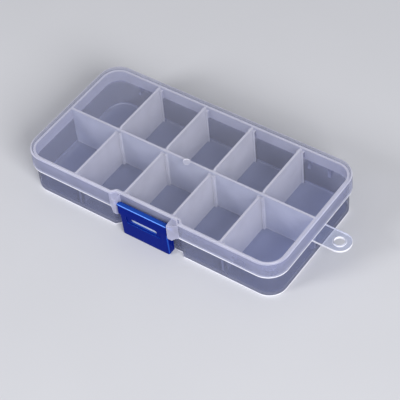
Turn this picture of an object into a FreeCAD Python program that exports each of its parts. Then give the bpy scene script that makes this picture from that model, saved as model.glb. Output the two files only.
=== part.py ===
import FreeCAD, Part
import math
import os

from FreeCAD import Vector

# A small clear polypropylene box with ten compartments for beads and parts.
# Millimetres. +X runs along the box to the hanging tab, -Y is the front with the latch, +Z is up.
# The origin is the centre of the tray's underside.

# The closed box, over the lid
lid_length = 128.0
lid_width = 65.0
box_height = 22.0
lid_corner_radius = 9.3

# Lid: a top plate with a skirt that hangs over the tray's rim
lid_top_thickness = 1.2
lid_edge_round = 0.9
skirt_height = 8.8
skirt_top_thickness = 1.0
skirt_edge_thickness = 0.6
lid_rim_gap = 0.25
skirt_rim_gap = 0.2

# Mark of the moulding gate: a shallow round dish in the lid's top, just in front of its middle
gate_x = 0.5
gate_y = -1.9
gate_radius = 1.6
gate_depth = 0.3

# Tray: thin walls that lean out towards the rim
tray_wall = 1.0
tray_floor = 1.0
tray_wall_lean = 0.2
tray_foot_round = 0.3
tray_inside_round = 0.8

# Set-back in the front of the lid and tray, where the latch stands
setback_front_half = 17.0
setback_run = 1.8
setback_depth = 1.9
setback_round = 0.7

# Long wall along the middle of the tray, and the slots for the loose dividers
middle_wall_thickness = 1.0
dividers_per_row = 4
divider_end_bay = 27.5
divider_thickness = 1.0
divider_slot_gap = 0.15
divider_seat_gap = 0.05
divider_top_round = 2.0
divider_foot_round = 1.6
slot_rib_thickness = 1.0
slot_rib_depth = 1.2
slot_rib_drop = 1.2

# Hanging tab on the end of the tray, just under the skirt
tab_half_width = 5.2
tab_hole_reach = 9.4
tab_thickness = 1.0
tab_skirt_gap = 0.1
tab_hole_radius = 2.4
tab_bead_width = 0.6
tab_bead_height = 0.2
tab_edge_round = 0.2

# Catch ledge on the tray, just behind the slot in the latch
ledge_skirt_gap = 0.6
ledge_slot_overlap = 0.6
ledge_latch_gap = 0.15
ledge_root_rise = 0.6
ledge_root_drop = 1.5

# Ears of the lid that carry the latch: they fill the ends of the set-back and flare out to the lid's front
ear_gap = 0.9
ear_thickness = 2.1
ear_tip_width = 0.9
ear_flare = 0.5
ear_top_drop = 1.0
ear_front_lead = 0.6
ear_tail = 1.7
ear_tail_run = 2.4
ear_tail_blend = 0.8
ear_top_round = 1.3
ear_tail_round = 2.0
ear_root_sink = 0.6

# Latch: a blue clip that swings from a barrel between the ears
latch_pivot_drop = 5.0
latch_pivot_lead = 2.0
latch_barrel_radius = 1.45
latch_top_round = 0.5
latch_plate_thickness = 0.9
latch_foot_height = 0.5
latch_foot_tuck = 0.9
latch_rim_thickness = 1.1
latch_rim_depth = 3.15
latch_rim_top_depth = 2.15
latch_rim_drop = 1.0
latch_rim_slope = 0.8
latch_foot_round = 1.0
latch_side_round = 1.1
latch_stub_radius = 0.9
latch_stub_length = 2.5
latch_stub_clearance = 0.06
latch_stub_end_gap = 0.1
latch_hollow_drop = 0.7

# Dished panel in the front of the latch, under its brow, with the catch slot through it
panel_margin = 3.5
panel_depth = 0.4
panel_round = 0.8
slot_margin = 2.1
slot_headroom = 1.3
slot_height = 2.05
slot_rise = 1.15
slot_round = 0.85

# Hinge at the rear: bars on the tray, clips on the lid
hinge_reach = 1.9
hinge_drop = 0.6
hinge_end_inset = 19.5
hinge_bar_radius = 1.0
hinge_clearance = 0.06
hinge_clip_width = 8.0
hinge_clip_wall = 0.89
hinge_clip_mouth = 1.5
hinge_gusset_height = 3.6
hinge_gusset_sink = 0.5
hinge_side_gap = 0.25
hinge_lug_thickness = 1.5
hinge_lug_radius = 1.5
hinge_lug_depth = 4.1
hinge_lug_sink = 0.6

# Cuts and trimming pieces run past what they cut by this much
overrun = 1.0
# Two heights within this of each other are the same height
same_height = 0.001

# Levels and places worked out from the sizes above
skirt_bottom = box_height - skirt_height
lid_underside = box_height - lid_top_thickness
rim_height = lid_underside - lid_rim_gap
lid_front = -lid_width / 2
setback_face = lid_front + setback_depth
setback_back_half = setback_front_half - setback_run
setback_turn = math.atan2(setback_depth, setback_run)
setback_slide = math.tan(setback_turn / 2)
ear_inner_x = setback_back_half - ear_thickness
latch_half_width = ear_inner_x - ear_gap
latch_rim_shoulder = skirt_bottom - latch_rim_drop
slot_top = skirt_bottom - ledge_skirt_gap - ledge_root_rise
slot_bottom = slot_top - slot_height
latch_brow_bottom = slot_top + slot_headroom
panel_bottom = slot_bottom - slot_rise
panel_half_length = latch_half_width - panel_margin
panel_middle = (panel_bottom + latch_brow_bottom) / 2
slot_half_length = panel_half_length - slot_margin
pivot_y = setback_face - latch_pivot_lead
pivot_z = box_height - latch_pivot_drop
hinge_y = lid_width / 2 + hinge_reach
hinge_z = skirt_bottom - hinge_drop
hinge_place = lid_length / 2 - hinge_end_inset
slot_half = divider_thickness / 2 + divider_slot_gap
middle_wall_half = middle_wall_thickness / 2


def across(x):
    """Puts a point of a side view (y, z) at this place along the box."""
    return lambda y, z: Vector(x, y, z)


def facing(y):
    """Puts a point of a front view (x, z) at this depth."""
    return lambda x, z: Vector(x, y, z)


def level(z):
    """Puts a point of a plan view (x, y) at this height."""
    return lambda x, y: Vector(x, y, z)


def rounded_wire(corners, place):
    """A closed wire through corners (u, v, radius), with a tangent arc at each unless its radius is 0."""
    count = len(corners)
    pieces = []
    for i in range(count):
        before = Vector(*corners[i - 1][:2], 0)
        here = Vector(*corners[i][:2], 0)
        after = Vector(*corners[(i + 1) % count][:2], 0)
        radius = corners[i][2]
        if radius == 0:
            pieces.append([here])
            continue
        back = (before - here).normalize()
        ahead = (after - here).normalize()
        half_angle = back.getAngle(ahead) / 2
        reach = radius / math.tan(half_angle)
        middle = (back + ahead).normalize()
        nearest = radius / math.sin(half_angle) - radius
        pieces.append([here + back * reach, here + middle * nearest, here + ahead * reach])
    edges = []
    for i in range(count):
        piece = [place(p.x, p.y) for p in pieces[i]]
        following = pieces[(i + 1) % count][0]
        if len(piece) > 1:
            edges.append(Part.Arc(*piece).toShape())
        edges.append(Part.LineSegment(piece[-1], place(following.x, following.y)).toShape())
    return Part.Wire(edges)


def prism(corners, place, run):
    """A solid: the outline of these corners, pushed along the vector run."""
    return Part.Face(rounded_wire(corners, place)).extrude(run)


def side_prism(corners, low_x, high_x):
    return prism(corners, across(low_x), Vector(high_x - low_x, 0, 0))


def block(low, high):
    size = [high[i] - low[i] for i in range(3)]
    return Part.makeBox(*size, Vector(*low))


def cylinder_along_x(radius, low_x, high_x, y, z):
    return Part.makeCylinder(radius, high_x - low_x, Vector(low_x, y, z), Vector(1, 0, 0))


def round_edges(shape, radius, chosen):
    """Rounds the edges for which chosen(edge) is true."""
    return shape.makeFillet(radius, [edge for edge in shape.Edges if chosen(edge)])


def lies_at(z):
    """Tells whether an edge lies level at this height."""
    return lambda edge: max(abs(edge.BoundBox.ZMin - z), abs(edge.BoundBox.ZMax - z)) < same_height


def mirrored_in_x(shape):
    return shape.mirror(Vector(0, 0, 0), Vector(1, 0, 0))


def box_corners(inset, bend=0):
    """Plan of the box, this far in from the lid's side, with its front set back behind the latch."""
    end = lid_length / 2 - inset
    side = lid_width / 2 - inset
    radius = lid_corner_radius - inset
    slide = inset * setback_slide
    wide = setback_front_half + slide
    narrow = setback_back_half + slide
    back = setback_depth - side
    return [
        (wide, -side, bend),
        (end, -side, radius),
        (end, side, radius),
        (-end, side, radius),
        (-end, -side, radius),
        (-wide, -side, bend),
        (-narrow, back, bend),
        (narrow, back, bend),
    ]


def box_shell(low_inset, low_z, high_inset, high_z):
    """A solid between two plans of the box at two heights."""
    low = rounded_wire(box_corners(low_inset), level(low_z))
    high = rounded_wire(box_corners(high_inset), level(high_z))
    return Part.makeLoft([low, high], True, True)


def skirt_inset(z):
    """How far the skirt's inner face lies inside the lid's side at this height."""
    share = (z - skirt_bottom) / (lid_underside - skirt_bottom)
    return skirt_edge_thickness + share * (skirt_top_thickness - skirt_edge_thickness)


def tray_inset(z):
    """How far the tray's outer face lies inside the lid's side at this height."""
    share = (rim_height - z) / rim_height
    return skirt_top_thickness + skirt_rim_gap + share * tray_wall_lean


def tray_inner_y(z, is_front, is_setback):
    """Where the inner face of the tray's long wall stands at this height."""
    reach = lid_width / 2 - tray_inset(z) - tray_wall
    if is_setback:
        reach = reach - setback_depth
    return -reach if is_front else reach


def divider_places():
    """Even places between the two that stand one end bay in from the lid's ends."""
    first = divider_end_bay - lid_length / 2
    pitch = -2 * first / (dividers_per_row - 1)
    return [first + i * pitch for i in range(dividers_per_row)]


def faces_setback(x):
    """Tells whether any of a divider's slot at this place lies behind the set-back."""
    return abs(x) - slot_half - slot_rib_thickness < setback_front_half


def latch_face_y(z):
    """Where the front face of the latch's plate stands at this height."""
    top = pivot_y - latch_barrel_radius
    share = (pivot_z - z) / (pivot_z - latch_foot_height)
    return top + share * latch_foot_tuck


def tray_tab():
    """The hanging tab, with a low bead round its hole."""
    top = skirt_bottom - tab_skirt_gap
    bottom = top - tab_thickness
    hole_x = lid_length / 2 + tab_hole_reach
    root_x = lid_length / 2 - tray_inset(bottom) - tray_wall
    tip_x = hole_x + tab_half_width
    corners = [
        (root_x, -tab_half_width, 0),
        (tip_x, -tab_half_width, tab_half_width - tab_edge_round),
        (tip_x, tab_half_width, tab_half_width - tab_edge_round),
        (root_x, tab_half_width, 0),
    ]
    tab = prism(corners, level(bottom), Vector(0, 0, tab_thickness))
    tab = round_edges(tab, tab_edge_round, lambda edge: is_tab_rim(edge, root_x, bottom, top))
    bead_radius = tab_hole_radius + tab_bead_width
    centre = Vector(hole_x, 0, bottom)
    bead = Part.makeCylinder(bead_radius, tab_thickness + tab_bead_height, centre)
    bead = round_edges(bead, tab_bead_height, lies_at(top + tab_bead_height))
    hole = Part.makeCylinder(tab_hole_radius, tab_thickness + 2 * overrun, centre - Vector(0, 0, overrun))
    return tab.fuse(bead).cut(hole)


def is_tab_rim(edge, root_x, bottom, top):
    """The tab's upper and lower edges, apart from those at its root."""
    level_edge = lies_at(bottom)(edge) or lies_at(top)(edge)
    return level_edge and edge.BoundBox.XMax > root_x + same_height


def tray_ledge():
    """The catch ledge, which ends just behind the latch's plate and is longer than the slot in it."""
    behind = latch_plate_thickness + ledge_latch_gap
    root = tray_inner_y(0, True, True) - tray_wall / 2
    low = slot_bottom - ledge_slot_overlap
    half_length = slot_half_length + ledge_slot_overlap
    corners = [
        (root, low - ledge_root_drop, 0),
        (latch_face_y(low) + behind, low, 0),
        (latch_face_y(slot_top) + behind, slot_top, 0),
        (root, slot_top + ledge_root_rise, 0),
    ]
    return side_prism(corners, -half_length, half_length)


def tray_hinge(place):
    """One hinge bar between two lugs on the rear wall."""
    inner = hinge_clip_width / 2 + hinge_side_gap
    outer = inner + hinge_lug_thickness
    root = tray_inner_y(hinge_z, False, False) + tray_wall - hinge_lug_sink
    arm = [
        (root, hinge_z, 0),
        (root, hinge_z - hinge_lug_depth, 0),
        (hinge_y, hinge_z - hinge_lug_radius, 0),
        (hinge_y, hinge_z, 0),
    ]
    hinge = cylinder_along_x(hinge_bar_radius, place - outer, place + outer, hinge_y, hinge_z)
    for low_x in (place - outer, place + inner):
        high_x = low_x + hinge_lug_thickness
        disc = cylinder_along_x(hinge_lug_radius, low_x, high_x, hinge_y, hinge_z)
        hinge = hinge.fuse([side_prism(arm, low_x, high_x), disc])
    return hinge


def slot_ribs(place):
    """The rib pairs that hold the two dividers at this place, from the tray's walls inwards."""
    low_z = tray_floor / 2
    high_z = rim_height - slot_rib_drop
    ribs = []
    for side in (-1, 1):
        face = tray_inner_y(tray_floor, side < 0, side < 0 and faces_setback(place))
        outer_ends = sorted([face - side * slot_rib_depth, side * lid_width / 2])
        middle_ends = sorted([0, side * (middle_wall_half + slot_rib_depth)])
        for ends in (outer_ends, middle_ends):
            for low_x in (place - slot_half - slot_rib_thickness, place + slot_half):
                high_x = low_x + slot_rib_thickness
                ribs.append(block((low_x, ends[0], low_z), (high_x, ends[1], high_z)))
    return ribs


def base_tray():
    outside = box_shell(tray_inset(0), 0, tray_inset(rim_height), rim_height)
    outside = round_edges(outside, tray_foot_round, lies_at(0))
    floor_inset = tray_inset(tray_floor) + tray_wall
    mouth = rim_height + overrun
    hollow = box_shell(floor_inset, tray_floor, tray_inset(mouth) + tray_wall, mouth)
    hollow = round_edges(hollow, tray_inside_round, lies_at(tray_floor))
    end = lid_length / 2 - tray_inset(0) - tray_wall / 2
    middle_wall = block((-end, -middle_wall_half, tray_floor / 2), (end, middle_wall_half, rim_height))
    inside = [middle_wall]
    for place in divider_places():
        inside.extend(slot_ribs(place))
    inside = [piece.common(outside) for piece in inside]
    attached = [tray_tab(), tray_ledge(), tray_hinge(-hinge_place), tray_hinge(hinge_place)]
    return outside.fuse(attached).cut(hollow).fuse(inside).removeSplitter()


def divider(place, is_front):
    """A loose divider between the middle wall and an outer wall."""
    side = -1 if is_front else 1
    is_setback = is_front and faces_setback(place)
    low_z = tray_floor + divider_seat_gap
    near = side * (middle_wall_half + divider_slot_gap)
    low_far = tray_inner_y(low_z, is_front, is_setback) - side * divider_slot_gap
    high_far = tray_inner_y(rim_height, is_front, is_setback) - side * divider_slot_gap
    corners = [
        (near, low_z, 0),
        (low_far, low_z, divider_foot_round),
        (high_far, rim_height, 0),
        (near, rim_height, divider_top_round),
    ]
    return side_prism(corners, place - divider_thickness / 2, place + divider_thickness / 2)


def lid_ear():
    """The ear at +X that carries one end of the latch, with a blind socket for its stub."""
    tip_x = ear_inner_x + ear_tip_width
    flare_x = setback_front_half + ear_flare
    front = pivot_y - latch_barrel_radius - ear_front_lead
    root = setback_face + ear_root_sink
    top = box_height - ear_top_drop
    bottom = skirt_bottom - ear_tail
    slide = ear_root_sink * setback_slide
    plan = [
        (ear_inner_x, root, 0),
        (ear_inner_x, front, 0),
        (tip_x, front, 0),
        (flare_x, lid_front, 0),
        (setback_front_half + slide, lid_front + ear_root_sink, 0),
        (setback_back_half + slide, root, 0),
    ]
    side = [
        (root, top, 0),
        (front, top, ear_top_round),
        (front, bottom, ear_tail_round),
        (setback_face, bottom, 0),
        (setback_face, skirt_bottom, 0),
        (root, skirt_bottom, 0),
    ]
    near_x = ear_inner_x - overrun
    far_x = flare_x + overrun
    view = [
        (near_x, bottom, 0),
        (tip_x, bottom, ear_tail_blend),
        (tip_x + ear_tail_run, skirt_bottom, ear_tail_blend),
        (far_x, skirt_bottom, 0),
        (far_x, box_height, 0),
        (near_x, box_height, 0),
    ]
    ear = prism(plan, level(bottom), Vector(0, 0, top - bottom))
    ear = ear.common(side_prism(side, near_x, far_x))
    ear = ear.common(prism(view, facing(front - overrun), Vector(0, lid_width, 0)))
    socket_radius = latch_stub_radius + latch_stub_clearance
    socket_end = latch_half_width + latch_stub_length + latch_stub_end_gap
    socket = cylinder_along_x(socket_radius, latch_half_width, socket_end, pivot_y, pivot_z)
    return ear.cut(socket)


def lid_clip(place):
    """One hinge clip: a snap ring round the tray's bar, on a gusset from the skirt."""
    low_x = place - hinge_clip_width / 2
    high_x = place + hinge_clip_width / 2
    bore_radius = hinge_bar_radius + hinge_clearance
    ring_radius = bore_radius + hinge_clip_wall
    root = lid_width / 2 - hinge_gusset_sink
    gusset = [
        (root, skirt_bottom, 0),
        (hinge_y, hinge_z, 0),
        (hinge_y + ring_radius, hinge_z, 0),
        (hinge_y + hinge_bar_radius, hinge_z + ring_radius, 0),
        (root, skirt_bottom + hinge_gusset_height, 0),
    ]
    ring = cylinder_along_x(ring_radius, low_x, high_x, hinge_y, hinge_z)
    bore = cylinder_along_x(bore_radius, low_x, high_x, hinge_y, hinge_z)
    mouth = block(
        (low_x, hinge_y - hinge_clip_mouth / 2, hinge_z - ring_radius - overrun),
        (high_x, hinge_y + hinge_clip_mouth / 2, hinge_z),
    )
    return ring.fuse(side_prism(gusset, low_x, high_x)).cut(bore).cut(mouth)


def lid():
    outside = prism(box_corners(0, setback_round), level(skirt_bottom), Vector(0, 0, skirt_height))
    outside = round_edges(outside, lid_edge_round, lies_at(box_height))
    below = skirt_bottom - overrun
    hollow = box_shell(skirt_inset(below), below, skirt_inset(lid_underside), lid_underside)
    gate_middle = Vector(gate_x, gate_y, box_height - gate_depth)
    gate = Part.makeCylinder(gate_radius, gate_depth + overrun, gate_middle)
    ear = lid_ear()
    attached = [ear, mirrored_in_x(ear), lid_clip(-hinge_place), lid_clip(hinge_place)]
    return outside.cut([hollow, gate]).fuse(attached).removeSplitter()


def latch_body():
    """The latch's plate, brow, barrel and side rims, before its slot is cut."""
    width = latch_half_width
    foot = latch_foot_height
    front = pivot_y - latch_barrel_radius
    top = pivot_z + latch_barrel_radius
    plate_top = latch_brow_bottom + overrun
    foot_y = latch_face_y(foot)
    rim_y = foot_y + latch_rim_depth
    rim_top_y = foot_y + latch_rim_top_depth
    side = [
        (latch_face_y(plate_top), plate_top, 0),
        (foot_y, foot, 0),
        (rim_y, foot, 0),
        (rim_y, latch_rim_shoulder, 0),
        (rim_top_y, latch_rim_shoulder + latch_rim_slope, 0),
        (pivot_y, pivot_z, 0),
    ]
    brow = [
        (front, latch_brow_bottom, 0),
        (front, top, latch_top_round),
        (pivot_y, top, 0),
        (pivot_y, latch_brow_bottom, 0),
    ]
    view = [
        (-width, foot, latch_foot_round),
        (width, foot, latch_foot_round),
        (width, box_height, 0),
        (-width, box_height, 0),
    ]
    hollow_foot = foot - overrun
    hollow_top = pivot_z - latch_barrel_radius - latch_hollow_drop
    hollow = [
        (latch_face_y(hollow_foot) + latch_plate_thickness, hollow_foot, 0),
        (rim_y + overrun, hollow_foot, 0),
        (rim_y + overrun, hollow_top, 0),
        (latch_face_y(hollow_top) + latch_plate_thickness, hollow_top, 0),
    ]
    body = side_prism(side, -width, width)
    body = round_edges(body, latch_side_round, runs_up_the_front)
    body = body.common(prism(view, facing(front - overrun), Vector(0, lid_width, 0)))
    body = body.fuse(side_prism(brow, -width, width))
    body = body.cut(side_prism(hollow, latch_rim_thickness - width, width - latch_rim_thickness))
    return body.fuse(cylinder_along_x(latch_barrel_radius, -width, width, pivot_y, pivot_z))


def runs_up_the_front(edge):
    """Tells whether an edge of the latch's plate runs from its foot up beside the front face."""
    box = edge.BoundBox
    return box.XLength < same_height and box.YMax < pivot_y


def rounded_bar(half_length, low_z, high_z, radius, near_y, far_y):
    """A rounded rectangle seen from the front, pushed from one depth to another."""
    corners = [
        (-half_length, low_z, radius),
        (half_length, low_z, radius),
        (half_length, high_z, radius),
        (-half_length, high_z, radius),
    ]
    return prism(corners, facing(near_y), Vector(0, far_y - near_y, 0))


def latch():
    face = latch_face_y(panel_middle)
    outside = face - overrun
    floor = face + panel_depth
    inside = face + latch_plate_thickness + overrun
    panel = rounded_bar(panel_half_length, panel_bottom, latch_brow_bottom, panel_round, outside, floor)
    slot = rounded_bar(slot_half_length, slot_bottom, slot_top, slot_round, outside, inside)
    stub_end = latch_half_width + latch_stub_length
    stubs = cylinder_along_x(latch_stub_radius, -stub_end, stub_end, pivot_y, pivot_z)
    return latch_body().cut([panel, slot]).fuse(stubs).removeSplitter()


def export(name, shape):
    solids = shape.Solids
    if len(solids) != 1:
        print(name, "has", len(solids), "solids")
    solids[0].exportStep("parts/" + name + ".step")


os.makedirs("parts", exist_ok=True)
export("base_tray", base_tray())
export("lid", lid())
export("latch", latch())
for number, place in enumerate(divider_places(), 1):
    export("divider_back_" + str(number), divider(place, False))
    export("divider_front_" + str(number), divider(place, True))
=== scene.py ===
import math

import bmesh
import bpy
from mathutils import Matrix, Vector


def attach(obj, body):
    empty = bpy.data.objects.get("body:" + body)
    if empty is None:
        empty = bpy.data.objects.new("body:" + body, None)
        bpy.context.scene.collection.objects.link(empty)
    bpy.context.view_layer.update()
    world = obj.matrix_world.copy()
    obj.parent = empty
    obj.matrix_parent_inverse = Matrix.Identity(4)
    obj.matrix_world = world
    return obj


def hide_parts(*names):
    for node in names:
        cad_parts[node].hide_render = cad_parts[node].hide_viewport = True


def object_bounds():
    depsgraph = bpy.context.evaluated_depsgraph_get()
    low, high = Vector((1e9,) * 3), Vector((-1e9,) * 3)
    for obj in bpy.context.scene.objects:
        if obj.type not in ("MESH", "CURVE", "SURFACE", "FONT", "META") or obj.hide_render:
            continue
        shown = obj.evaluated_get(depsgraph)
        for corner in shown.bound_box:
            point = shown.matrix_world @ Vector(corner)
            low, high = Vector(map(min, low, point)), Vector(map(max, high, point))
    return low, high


# A closed box of clear moulded polypropylene with a blue snap latch.
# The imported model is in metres. Sizes below are in millimetres, and angles in degrees.
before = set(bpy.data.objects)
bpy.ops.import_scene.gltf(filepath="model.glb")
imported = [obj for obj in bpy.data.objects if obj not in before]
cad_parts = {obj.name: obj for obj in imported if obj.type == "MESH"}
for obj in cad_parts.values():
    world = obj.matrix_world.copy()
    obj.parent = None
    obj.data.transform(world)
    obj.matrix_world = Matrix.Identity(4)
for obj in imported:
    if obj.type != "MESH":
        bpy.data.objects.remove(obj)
cad_low, cad_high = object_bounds()
MM = 0.001

# The photograph's camera, solved from the box's straight edges
camera_turn = 39.186
camera_height = 47.241
camera_roll = -6.029
camera_distance = 639.9
camera_aim = (7.156, -3.957, 3.983)
camera_lens = 136.44
camera_sensor = 36.0

# Mesh work
merge_distance = 0.001
flat_angle = 0.6
smooth_angle = 14.0
shaded_angle = 40.0
edge_bevel = 0.15
# The latch's wider bevel carries its painted highlight.
latch_bevel = 0.3
bevel_steps = 2

# A strip of faces between sharp edges is an edge of the moulding when it is narrower than this
tray_level_strip = 1.3
tray_upright_strip = 1.16
lid_level_strip = 0.7
lid_upright_strip = 0.5

# Which way a face looks, told by how much of its normal lies along an axis
flat_share = 0.97
level_share = 0.7
upright_share = 0.5
skirt_upright_share = 0.3
facing_share = 0.9
latch_side_share = 0.85
latch_ridge_front_share = 0.4
latch_ridge_top_share = 0.35

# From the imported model: the box's height, and how far the lid reaches to the left and the right
box_height = cad_high[2] / MM
lid_reach = -cad_low[0] / MM

# The lid's skirt and the round along its top
skirt_height = 8.8
top_round = 0.9
skirt_bottom = box_height - skirt_height
lid_edge_start = box_height - top_round

# What lies further than this past the lid is the tab
tab_margin = 0.2
tab_start = lid_reach + tab_margin

# The gate mark lies deeper than this in the lid's top, and within this reach of its middle
gate_depth = 0.05
gate_reach = 5.0
gate_top = box_height - gate_depth

# Other places on the tray and lid that get a plastic of their own, most of them a painted glow
middle_wall_reach = 0.7
outer_wall_start = 27.0
end_wall_start = 54.0
ledge_front = -32.3
ledge_half = 8.0
foot_line_height = 0.9
floor_line_height = 1.6
inner_rim_start = 15.1
skirt_line_height = 0.5
ear_start = 12.8
ear_reach = 17.6
ear_front = -29.9
hinge_clip_start = 32.6

# Each moulded piece's first two material slots: its own plastic, and the plastic of its edges,
# which is a painted glow on the clear pieces and a painted highlight on the latch
main_slot = 0
painted_edge_slot = 1

# Widths and heights of the patterns in the surfaces.
# The latch's grain and the paper's fibres are finer, and are drawn as coarse as they need to show.
flow_width = 14.0
ripple_width = 5.0
ripple_height = 0.05
pigment_width = 9.0
grain_width = 0.6
grain_height = 0.02
fibre_width = 60.0

# Blender's noise lies mostly between these two values
noise_low = 0.3
noise_high = 0.7

# The haze of a clear sheet: it grows between two turns away from the eye, and is a little uneven
haze_start = 0.2
haze_end = 0.6
haze_unevenness = 0.12
polypropylene_ior = 1.49

# The gloss of the blue latch
latch_smoothest = 0.2
latch_roughest = 0.28

# Studio
floor_size = 4000.0
floor_drop = 0.05
softbox_distance = 1500.0
key_softbox_turn = 60.0
key_softbox_height = 32.0
key_softbox_power = 21.0
key_softbox_size = 700.0
front_softbox_turn = -30.0
front_softbox_height = 28.0
front_softbox_power = 10.0
front_softbox_size = 420.0
world_strength = 0.35

# A look through the closed box can pass eight sheets with two faces each, so this leaves room
see_through_faces = 32


def linear(hex_colour):
    """An sRGB hex colour as Blender's linear red, green, blue and alpha."""
    channels = [int(hex_colour[i:i + 2], 16) / 255 for i in (1, 3, 5)]
    return [c / 12.92 if c <= 0.04045 else ((c + 0.055) / 1.055) ** 2.4 for c in channels] + [1.0]


def add_node(material, kind, settings=None, **inputs):
    """Adds a node. An input is a value or another node's output.

    It goes by its socket's name, with _ for a space, or by _ and its socket's number.
    """
    node = material.node_tree.nodes.new("ShaderNode" + kind)
    for name, value in (settings or {}).items():
        setattr(node, name, value)
    for name, value in inputs.items():
        socket = node.inputs[int(name[1:])] if name[1:].isdigit() else node.inputs[name.replace("_", " ")]
        if isinstance(value, bpy.types.NodeSocket):
            material.node_tree.links.new(value, socket)
        else:
            socket.default_value = value
    return node


def new_material(name):
    material = bpy.data.materials.new(name)
    material.use_nodes = True
    material.node_tree.nodes.clear()
    return material


def clear_plastic(name, tint, haze, haze_level, haze_tilted, roughness=0.2, glow_share=0.35):
    """Thin clear polypropylene: a tinted see-through sheet with a milky haze.

    The haze is at haze_level where the sheet faces the eye, and at haze_tilted where it is turned away.
    """
    material = new_material(name)
    place = add_node(material, "TexCoord").outputs["Object"]
    flow = add_node(
        material, "TexNoise", Vector=place, Scale=1 / (flow_width * MM), Detail=2.0, Roughness=0.5,
    )
    ripple = add_node(
        material, "TexNoise", Vector=place, Scale=1 / (ripple_width * MM), Detail=2.0, Roughness=0.5,
    )
    bump = add_node(
        material, "Bump", Strength=0.35, Distance=ripple_height * MM, Height=ripple.outputs["Fac"],
    )
    looked = add_node(material, "LayerWeight", Blend=0.5)
    tilted = add_node(
        material, "MapRange", {"interpolation_type": "SMOOTHSTEP"}, Value=looked.outputs["Facing"],
        From_Min=haze_start, From_Max=haze_end, To_Min=haze_level, To_Max=haze_tilted,
    )
    uneven = add_node(
        material, "MapRange", Value=flow.outputs["Fac"], From_Min=noise_low, From_Max=noise_high,
        To_Min=1 - haze_unevenness, To_Max=1 + haze_unevenness,
    )
    amount = add_node(
        material, "Math", {"operation": "MULTIPLY", "use_clamp": True},
        _0=tilted.outputs["Result"], _1=uneven.outputs["Result"],
    )
    skin = add_node(
        material, "BsdfPrincipled", Base_Color=linear(haze), Roughness=roughness, IOR=polypropylene_ior,
        Normal=bump.outputs["Normal"],
    )
    glow = add_node(material, "BsdfTranslucent", Color=linear(haze))
    milky = add_node(material, "MixShader", _0=glow_share, _1=skin.outputs[0], _2=glow.outputs[0])
    clear = add_node(material, "BsdfTransparent", Color=linear(tint))
    hazy = add_node(
        material, "MixShader", _0=amount.outputs[0], _1=clear.outputs[0], _2=milky.outputs[0],
    )
    add_node(material, "OutputMaterial", Surface=hazy.outputs[0])
    return material


# Clear polypropylene, injection moulded in a polished tool: see-through, with a cool lavender haze.
# The shader carries no light along inside a sheet, as the real plastic does. So each place has a tint
# and a haze of its own, matched to the photograph, the same all round the box.
# The ears, the inner rim band, the middle wall, the ledge, the edges and the lid's round below are painted
# glow, for that light.
lid_plastic = clear_plastic(
    "clear_polypropylene_moulded_lid",
    tint="#FAFAFC", haze="#E2E4F6", haze_level=0.04, haze_tilted=0.4,
)
# The lid's skirt looks more tinted than its top.
skirt_plastic = clear_plastic(
    "clear_polypropylene_lid_skirt",
    tint="#DCDEEA", haze="#D6D8E6", haze_level=0.25, haze_tilted=0.31,
)
# The ears beside the latch are painted milkier and brighter than the skirt, a painted glow.
ear_painted_glow_plastic = clear_plastic(
    "clear_polypropylene_latch_ear_painted_glow",
    tint="#E8EAF2", haze="#E6E6FA", haze_level=0.44, haze_tilted=0.54,
)
# The tray's floor, slot ribs and tab are clear, with a light haze.
tray_plastic = clear_plastic(
    "clear_polypropylene_moulded_tray",
    tint="#F4F6FC", haze="#CDD4F0", haze_level=0.14, haze_tilted=0.14,
)
# The inner faces of its outer walls look greyer than the floor.
wall_plastic = clear_plastic(
    "clear_polypropylene_wall_inside",
    tint="#CED2E4", haze="#CDD3F0", haze_level=0.18, haze_tilted=0.2,
)
# Their outer faces look greyer still, from the foot to the skirt.
outside_plastic = clear_plastic(
    "clear_polypropylene_wall_outside",
    tint="#C2C4CE", haze="#D0D2E0", haze_level=0.16, haze_tilted=0.19,
)
# Behind the lid's skirt the outer faces stay light, because the skirt before them adds its own tint.
rim_plastic = clear_plastic(
    "clear_polypropylene_wall_behind_skirt",
    tint="#F4F4FA", haze="#DEE0F4", haze_level=0.18, haze_tilted=0.2,
)
# At the top of the inner faces, under the rim, a milky band of painted glow.
inner_rim_painted_glow_plastic = clear_plastic(
    "clear_polypropylene_inner_rim_painted_glow",
    tint="#F4F4FA", haze="#F0F2FF", haze_level=0.66, haze_tilted=0.68,
)
# The tray's middle wall is painted milkier and brighter than its outer walls, a painted glow.
middle_wall_painted_glow_plastic = clear_plastic(
    "clear_polypropylene_middle_wall_painted_glow",
    tint="#E4E6F0", haze="#F0F3FE", haze_level=0.88, haze_tilted=0.93, roughness=0.25,
)
# The catch ledge stands in the latch's slot. It is painted milky, light and a little blue,
# a painted glow that lights it in the slot's shade.
ledge_painted_glow_plastic = clear_plastic(
    "clear_polypropylene_catch_ledge_painted_glow",
    tint="#E0E8FA", haze="#DCE8FF", haze_level=0.92, haze_tilted=0.92, roughness=0.25,
)
# Where a wall ends or turns, the real sheet lets out the light it carries inside.
# Here the edge is painted milky and bright instead, a painted glow.
edge_painted_glow_plastic = clear_plastic(
    "clear_polypropylene_edge_painted_glow",
    tint="#F6F6FA", haze="#F8F8FF", haze_level=0.92, haze_tilted=0.96, glow_share=0.1,
)
# The wide round along the lid's top is a painted glow, less bright than a sharp edge's but for where it
# turns away.
round_painted_glow_plastic = clear_plastic(
    "clear_polypropylene_lid_round_painted_glow",
    tint="#F6F6FA", haze="#ECECFA", haze_level=0.46, haze_tilted=0.9,
)
# The loose dividers are of a natural, milkier polypropylene, in a warmer grey than the tray.
divider_plastic = clear_plastic(
    "natural_polypropylene_divider_sheet",
    tint="#ECECF0", haze="#F8F8FC", haze_level=0.86, haze_tilted=0.92, roughness=0.35,
)


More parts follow.
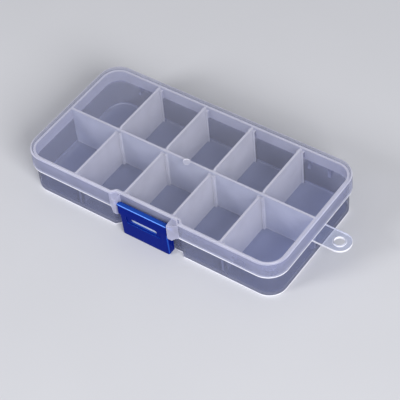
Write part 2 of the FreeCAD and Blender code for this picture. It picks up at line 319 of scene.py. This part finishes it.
def blue_plastic(name, dark, light, specular):
    """Blue polypropylene, moulded glossy: deep colour, soft sheen and a faint flow of the pigment."""
    material = new_material(name)
    place = add_node(material, "TexCoord").outputs["Object"]
    flow = add_node(
        material, "TexNoise", Vector=place, Scale=1 / (pigment_width * MM), Detail=3.0, Roughness=0.55,
    )
    colour = add_node(
        material, "Mix", {"data_type": "RGBA"}, Factor=flow.outputs["Fac"],
        _6=linear(dark), _7=linear(light),
    )
    grain = add_node(
        material, "TexNoise", Vector=place, Scale=1 / (grain_width * MM), Detail=2.0, Roughness=0.6,
    )
    bump = add_node(
        material, "Bump", Strength=0.12, Distance=grain_height * MM, Height=grain.outputs["Fac"],
    )
    gloss = add_node(
        material, "MapRange", Value=flow.outputs["Fac"], From_Min=noise_low, From_Max=noise_high,
        To_Min=latch_smoothest, To_Max=latch_roughest,
    )
    skin = add_node(
        material, "BsdfPrincipled", Base_Color=colour.outputs[2], Roughness=gloss.outputs["Result"],
        IOR=polypropylene_ior, Specular_IOR_Level=specular, Specular_Tint=linear("#7EA4FF"),
        Normal=bump.outputs["Normal"],
    )
    add_node(material, "OutputMaterial", Surface=skin.outputs[0])
    return material


# The latch's front and sides are a deep blue. Its top is painted lighter, as painted light from above,
# and its ridge and sharp edges lighter still, as a painted highlight.
latch_plastic = blue_plastic(
    "blue_polypropylene_moulded_gloss", dark="#03166E", light="#041A78", specular=0.03,
)
latch_top_painted_light_plastic = blue_plastic(
    "blue_polypropylene_top_painted_light", dark="#123A94", light="#1A48AA", specular=0.3,
)
latch_painted_highlight_plastic = blue_plastic(
    "blue_polypropylene_edge_painted_highlight", dark="#5A8CEA", light="#6A9AF2", specular=0.5,
)


def floor_paper():
    """Pale matt studio paper, with the faint unevenness of its fibres."""
    material = new_material("studio_paper_matt")
    place = add_node(material, "TexCoord").outputs["Object"]
    fibre = add_node(material, "TexNoise", Vector=place, Scale=1 / (fibre_width * MM), Detail=2.0)
    colour = add_node(
        material, "Mix", {"data_type": "RGBA"}, Factor=fibre.outputs["Fac"],
        _6=linear("#CCCDD3"), _7=linear("#D0D1D7"),
    )
    skin = add_node(
        material, "BsdfPrincipled", Base_Color=colour.outputs[2], Roughness=0.9, Specular_IOR_Level=0.1,
    )
    add_node(material, "OutputMaterial", Surface=skin.outputs[0])
    return material


# Each piece's plastics, in the order of its material slots
tray_plastics = [
    tray_plastic, edge_painted_glow_plastic, wall_plastic, rim_plastic,
    middle_wall_painted_glow_plastic, ledge_painted_glow_plastic, outside_plastic, inner_rim_painted_glow_plastic,
]
lid_plastics = [lid_plastic, edge_painted_glow_plastic, round_painted_glow_plastic, skirt_plastic, ear_painted_glow_plastic]
divider_plastics = [divider_plastic, edge_painted_glow_plastic]
latch_plastics = [latch_plastic, latch_painted_highlight_plastic, latch_top_painted_light_plastic]


def merged_shell(node, name):
    """A copy of a CAD node's loose triangles with shared corners and whole flat faces."""
    mesh = bpy.data.meshes.new(name)
    shell = bmesh.new()
    shell.from_mesh(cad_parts[node].data)
    bmesh.ops.remove_doubles(shell, verts=shell.verts, dist=merge_distance * MM)
    bmesh.ops.dissolve_limit(
        shell, angle_limit=math.radians(flat_angle), verts=shell.verts, edges=shell.edges,
    )
    return mesh, shell


def cut_at(shell, height):
    """Cuts the faces at this height, so that a band of them can take another plastic."""
    bmesh.ops.bisect_plane(
        shell, geom=shell.verts[:] + shell.edges[:] + shell.faces[:], dist=merge_distance * MM,
        plane_co=(0, 0, height * MM), plane_no=(0, 0, 1),
    )


def mark_thin_strips(shell, level_strip, upright_strip):
    """Gives narrow strips between sharp edges, such as rims, to the edge plastic, a painted glow."""
    limit = math.radians(smooth_angle)
    seen = set()
    for start in shell.faces:
        if start in seen:
            continue
        group = [start]
        seen.add(start)
        border = 0.0
        area = 0.0
        for face in group:
            area += face.calc_area()
            for edge in face.edges:
                if len(edge.link_faces) != 2 or edge.calc_face_angle(math.pi) > limit:
                    border += edge.calc_length()
                    continue
                for other in edge.link_faces:
                    if other not in seen:
                        seen.add(other)
                        group.append(other)
        is_level = any(abs(face.normal.z) > level_share for face in group)
        strip = level_strip if is_level else upright_strip
        # A long strip's area is its width times half its border.
        if 2 * area < strip * MM * border:
            for face in group:
                face.material_index = painted_edge_slot


def is_sloped(face):
    return abs(face.normal.z) < flat_share


def mark_divider(shell):
    """Gives the divider's edges, and a thin line along its foot, to the edge plastic, a painted glow."""
    mark_thin_strips(shell, tray_level_strip, tray_upright_strip)
    cut_at(shell, floor_line_height)
    for face in shell.faces:
        if face.calc_center_median().z < floor_line_height * MM:
            face.material_index = painted_edge_slot


def is_middle_wall(face, place):
    return abs(face.normal.y) > facing_share and abs(place.y) < middle_wall_reach


def is_outer_wall(face, place):
    is_upright = abs(face.normal.z) < upright_share
    return is_upright and (abs(place.y) > outer_wall_start or abs(place.x) > end_wall_start)


def outer_wall_plastic(face, place):
    """The outside and the inside of an outer wall, each with another plastic at its top."""
    if face.normal.dot(place) > 0:
        return rim_plastic if place.z > skirt_bottom else outside_plastic
    # The band at the top of the inner face is a painted glow.
    return inner_rim_painted_glow_plastic if place.z > inner_rim_start else wall_plastic


def mark_tray(shell):
    """Gives the tray's edges, walls, rim, tab, middle wall and catch ledge their own plastics."""
    # Painted glow goes on the edges, the foot and floor lines, the tab's sides, the band under the rim, the
    # middle wall and the ledge.
    mark_thin_strips(shell, tray_level_strip, tray_upright_strip)
    for height in (foot_line_height, floor_line_height, skirt_bottom, inner_rim_start):
        cut_at(shell, height)
    for face in shell.faces:
        place = face.calc_center_median() / MM
        is_unmarked = face.material_index == main_slot
        if place.x > tab_start:
            plastic = edge_painted_glow_plastic if is_sloped(face) else tray_plastic
        elif place.y < ledge_front and abs(place.x) < ledge_half:
            plastic = ledge_painted_glow_plastic
        elif is_sloped(face) and place.z < foot_line_height:
            plastic = edge_painted_glow_plastic
        elif is_unmarked and is_middle_wall(face, place):
            plastic = edge_painted_glow_plastic if place.z < floor_line_height else middle_wall_painted_glow_plastic
        elif is_unmarked and is_outer_wall(face, place):
            plastic = outer_wall_plastic(face, place)
        else:
            continue
        face.material_index = tray_plastics.index(plastic)


def is_gate_mark(place):
    return lid_edge_start < place.z < gate_top and max(abs(place.x), abs(place.y)) < gate_reach


def mark_lid(shell):
    """Gives the lid's edges, skirt, ears and the wide round along its top their own plastics."""
    # Painted glow goes on the edges, the skirt's bottom line, the ears, the round along the top and the
    # gate mark.
    mark_thin_strips(shell, lid_level_strip, lid_upright_strip)
    skirt_line_top = skirt_bottom + skirt_line_height
    cut_at(shell, skirt_line_top)
    for face in shell.faces:
        place = face.calc_center_median() / MM
        is_setback = abs(place.x) < ear_reach and place.y < ear_front and place.z < lid_edge_start
        is_skirt = abs(face.normal.z) < skirt_upright_share and place.z < lid_edge_start
        if is_setback:
            plastic = ear_painted_glow_plastic if abs(place.x) > ear_start else skirt_plastic
        elif is_skirt and place.z < skirt_line_top and place.y < hinge_clip_start:
            plastic = edge_painted_glow_plastic
        elif is_skirt and face.material_index == main_slot:
            plastic = skirt_plastic
        elif is_gate_mark(place):
            plastic = edge_painted_glow_plastic if is_sloped(face) else round_painted_glow_plastic
        elif is_sloped(face) and place.z > lid_edge_start:
            plastic = round_painted_glow_plastic
        else:
            continue
        face.material_index = lid_plastics.index(plastic)


def mark_latch(shell):
    """Paints light on all of the latch but its front and its sides: a painted highlight on its ridge,
    painted light on the rest.
    """
    for face in shell.faces:
        is_front = face.normal.y < -facing_share or abs(face.normal.x) > latch_side_share
        is_ridge = face.normal.y < -latch_ridge_front_share and face.normal.z > latch_ridge_top_share
        if is_front:
            plastic = latch_plastic
        elif is_ridge:
            plastic = latch_painted_highlight_plastic
        else:
            plastic = latch_top_painted_light_plastic
        face.material_index = latch_plastics.index(plastic)


def moulded_piece(node, name, body, materials, bevel, mark):
    """Stands for a CAD node: its own shape, smooth on its rounds, with softened edges."""
    mesh, shell = merged_shell(node, name)
    mark(shell)
    for face in shell.faces:
        face.smooth = True
    for edge in shell.edges:
        edge.smooth = edge.calc_face_angle(math.pi) < math.radians(shaded_angle)
    shell.to_mesh(mesh)
    shell.free()
    for material in materials:
        mesh.materials.append(material)
    piece = bpy.data.objects.new(name, mesh)
    bpy.context.scene.collection.objects.link(piece)
    soften = piece.modifiers.new("softened_edges", "BEVEL")
    soften.width = bevel * MM
    soften.segments = bevel_steps
    soften.limit_method = "ANGLE"
    soften.angle_limit = math.radians(shaded_angle)
    # The bevelled faces take the painted glow of the edges, or on the latch their painted highlight.
    soften.material = painted_edge_slot
    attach(piece, body)
    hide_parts(node)
    return piece


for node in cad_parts:
    if node.startswith("divider"):
        piece = moulded_piece(node, "moulded_" + node, "tray", divider_plastics, edge_bevel, mark_divider)
tray = moulded_piece("base_tray", "moulded_base_tray", "tray", tray_plastics, edge_bevel, mark_tray)
lid = moulded_piece("lid", "moulded_lid", "lid", lid_plastics, edge_bevel, mark_lid)
latch = moulded_piece("latch", "moulded_latch", "latch", latch_plastics, latch_bevel, mark_latch)

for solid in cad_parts.values():
    solid.data.materials.clear()
    look = divider_plastic if solid.name.startswith("divider") else tray_plastic
    solid.data.materials.append(latch_plastic if solid.name == "latch" else look)


def make_floor():
    mesh = bpy.data.meshes.new("studio_floor")
    sheet = bmesh.new()
    lower = Matrix.Translation((0, 0, -floor_drop * MM))
    bmesh.ops.create_grid(sheet, x_segments=1, y_segments=1, size=floor_size / 2 * MM, matrix=lower)
    sheet.to_mesh(mesh)
    sheet.free()
    mesh.materials.append(floor_paper())
    floor = bpy.data.objects.new("studio_floor", mesh)
    bpy.context.scene.collection.objects.link(floor)


def direction_to(turn, height):
    """The way from the box to something at this turn and height. A turn of 0 is straight in front."""
    turn = math.radians(turn)
    height = math.radians(height)
    return Vector((math.sin(turn) * math.cos(height), -math.cos(turn) * math.cos(height), math.sin(height)))


def make_softbox(name, turn, height, power, size):
    """A square soft lamp that looks at the box from this turn and height."""
    data = bpy.data.lights.new(name, "AREA")
    data.shape = "SQUARE"
    data.size = size * MM
    data.energy = power
    lamp = bpy.data.objects.new(name, data)
    back = direction_to(turn, height)
    lamp.location = back * softbox_distance * MM
    lamp.rotation_mode = "QUATERNION"
    lamp.rotation_quaternion = back.to_track_quat("Z", "Y")
    bpy.context.scene.collection.objects.link(lamp)


def make_world():
    world = bpy.data.worlds.new("studio_world")
    bpy.context.scene.world = world
    world.use_nodes = True
    sky = world.node_tree.nodes["Background"]
    sky.inputs["Color"].default_value = linear("#FFFFFF")
    sky.inputs["Strength"].default_value = world_strength


def make_camera():
    back = direction_to(camera_turn, camera_height)
    right = Vector((0, 0, 1)).cross(back).normalized()
    up = back.cross(right)
    level = Matrix((right, up, back)).transposed()
    rolled = level @ Matrix.Rotation(math.radians(camera_roll), 3, "Z")
    data = bpy.data.cameras.new("camera")
    data.lens = camera_lens
    data.sensor_width = camera_sensor
    camera = bpy.data.objects.new("camera", data)
    camera.location = (Vector(camera_aim) + back * camera_distance) * MM
    camera.rotation_mode = "QUATERNION"
    camera.rotation_quaternion = rolled.to_quaternion()
    bpy.context.scene.collection.objects.link(camera)
    bpy.context.scene.camera = camera


make_floor()
make_world()
make_softbox(
    "softbox_key", key_softbox_turn, key_softbox_height, key_softbox_power, key_softbox_size,
)
make_softbox(
    "softbox_front", front_softbox_turn, front_softbox_height, front_softbox_power, front_softbox_size,
)
make_camera()

scene = bpy.context.scene
scene.view_settings.view_transform = "Standard"
scene.cycles.transparent_max_bounces = see_through_faces
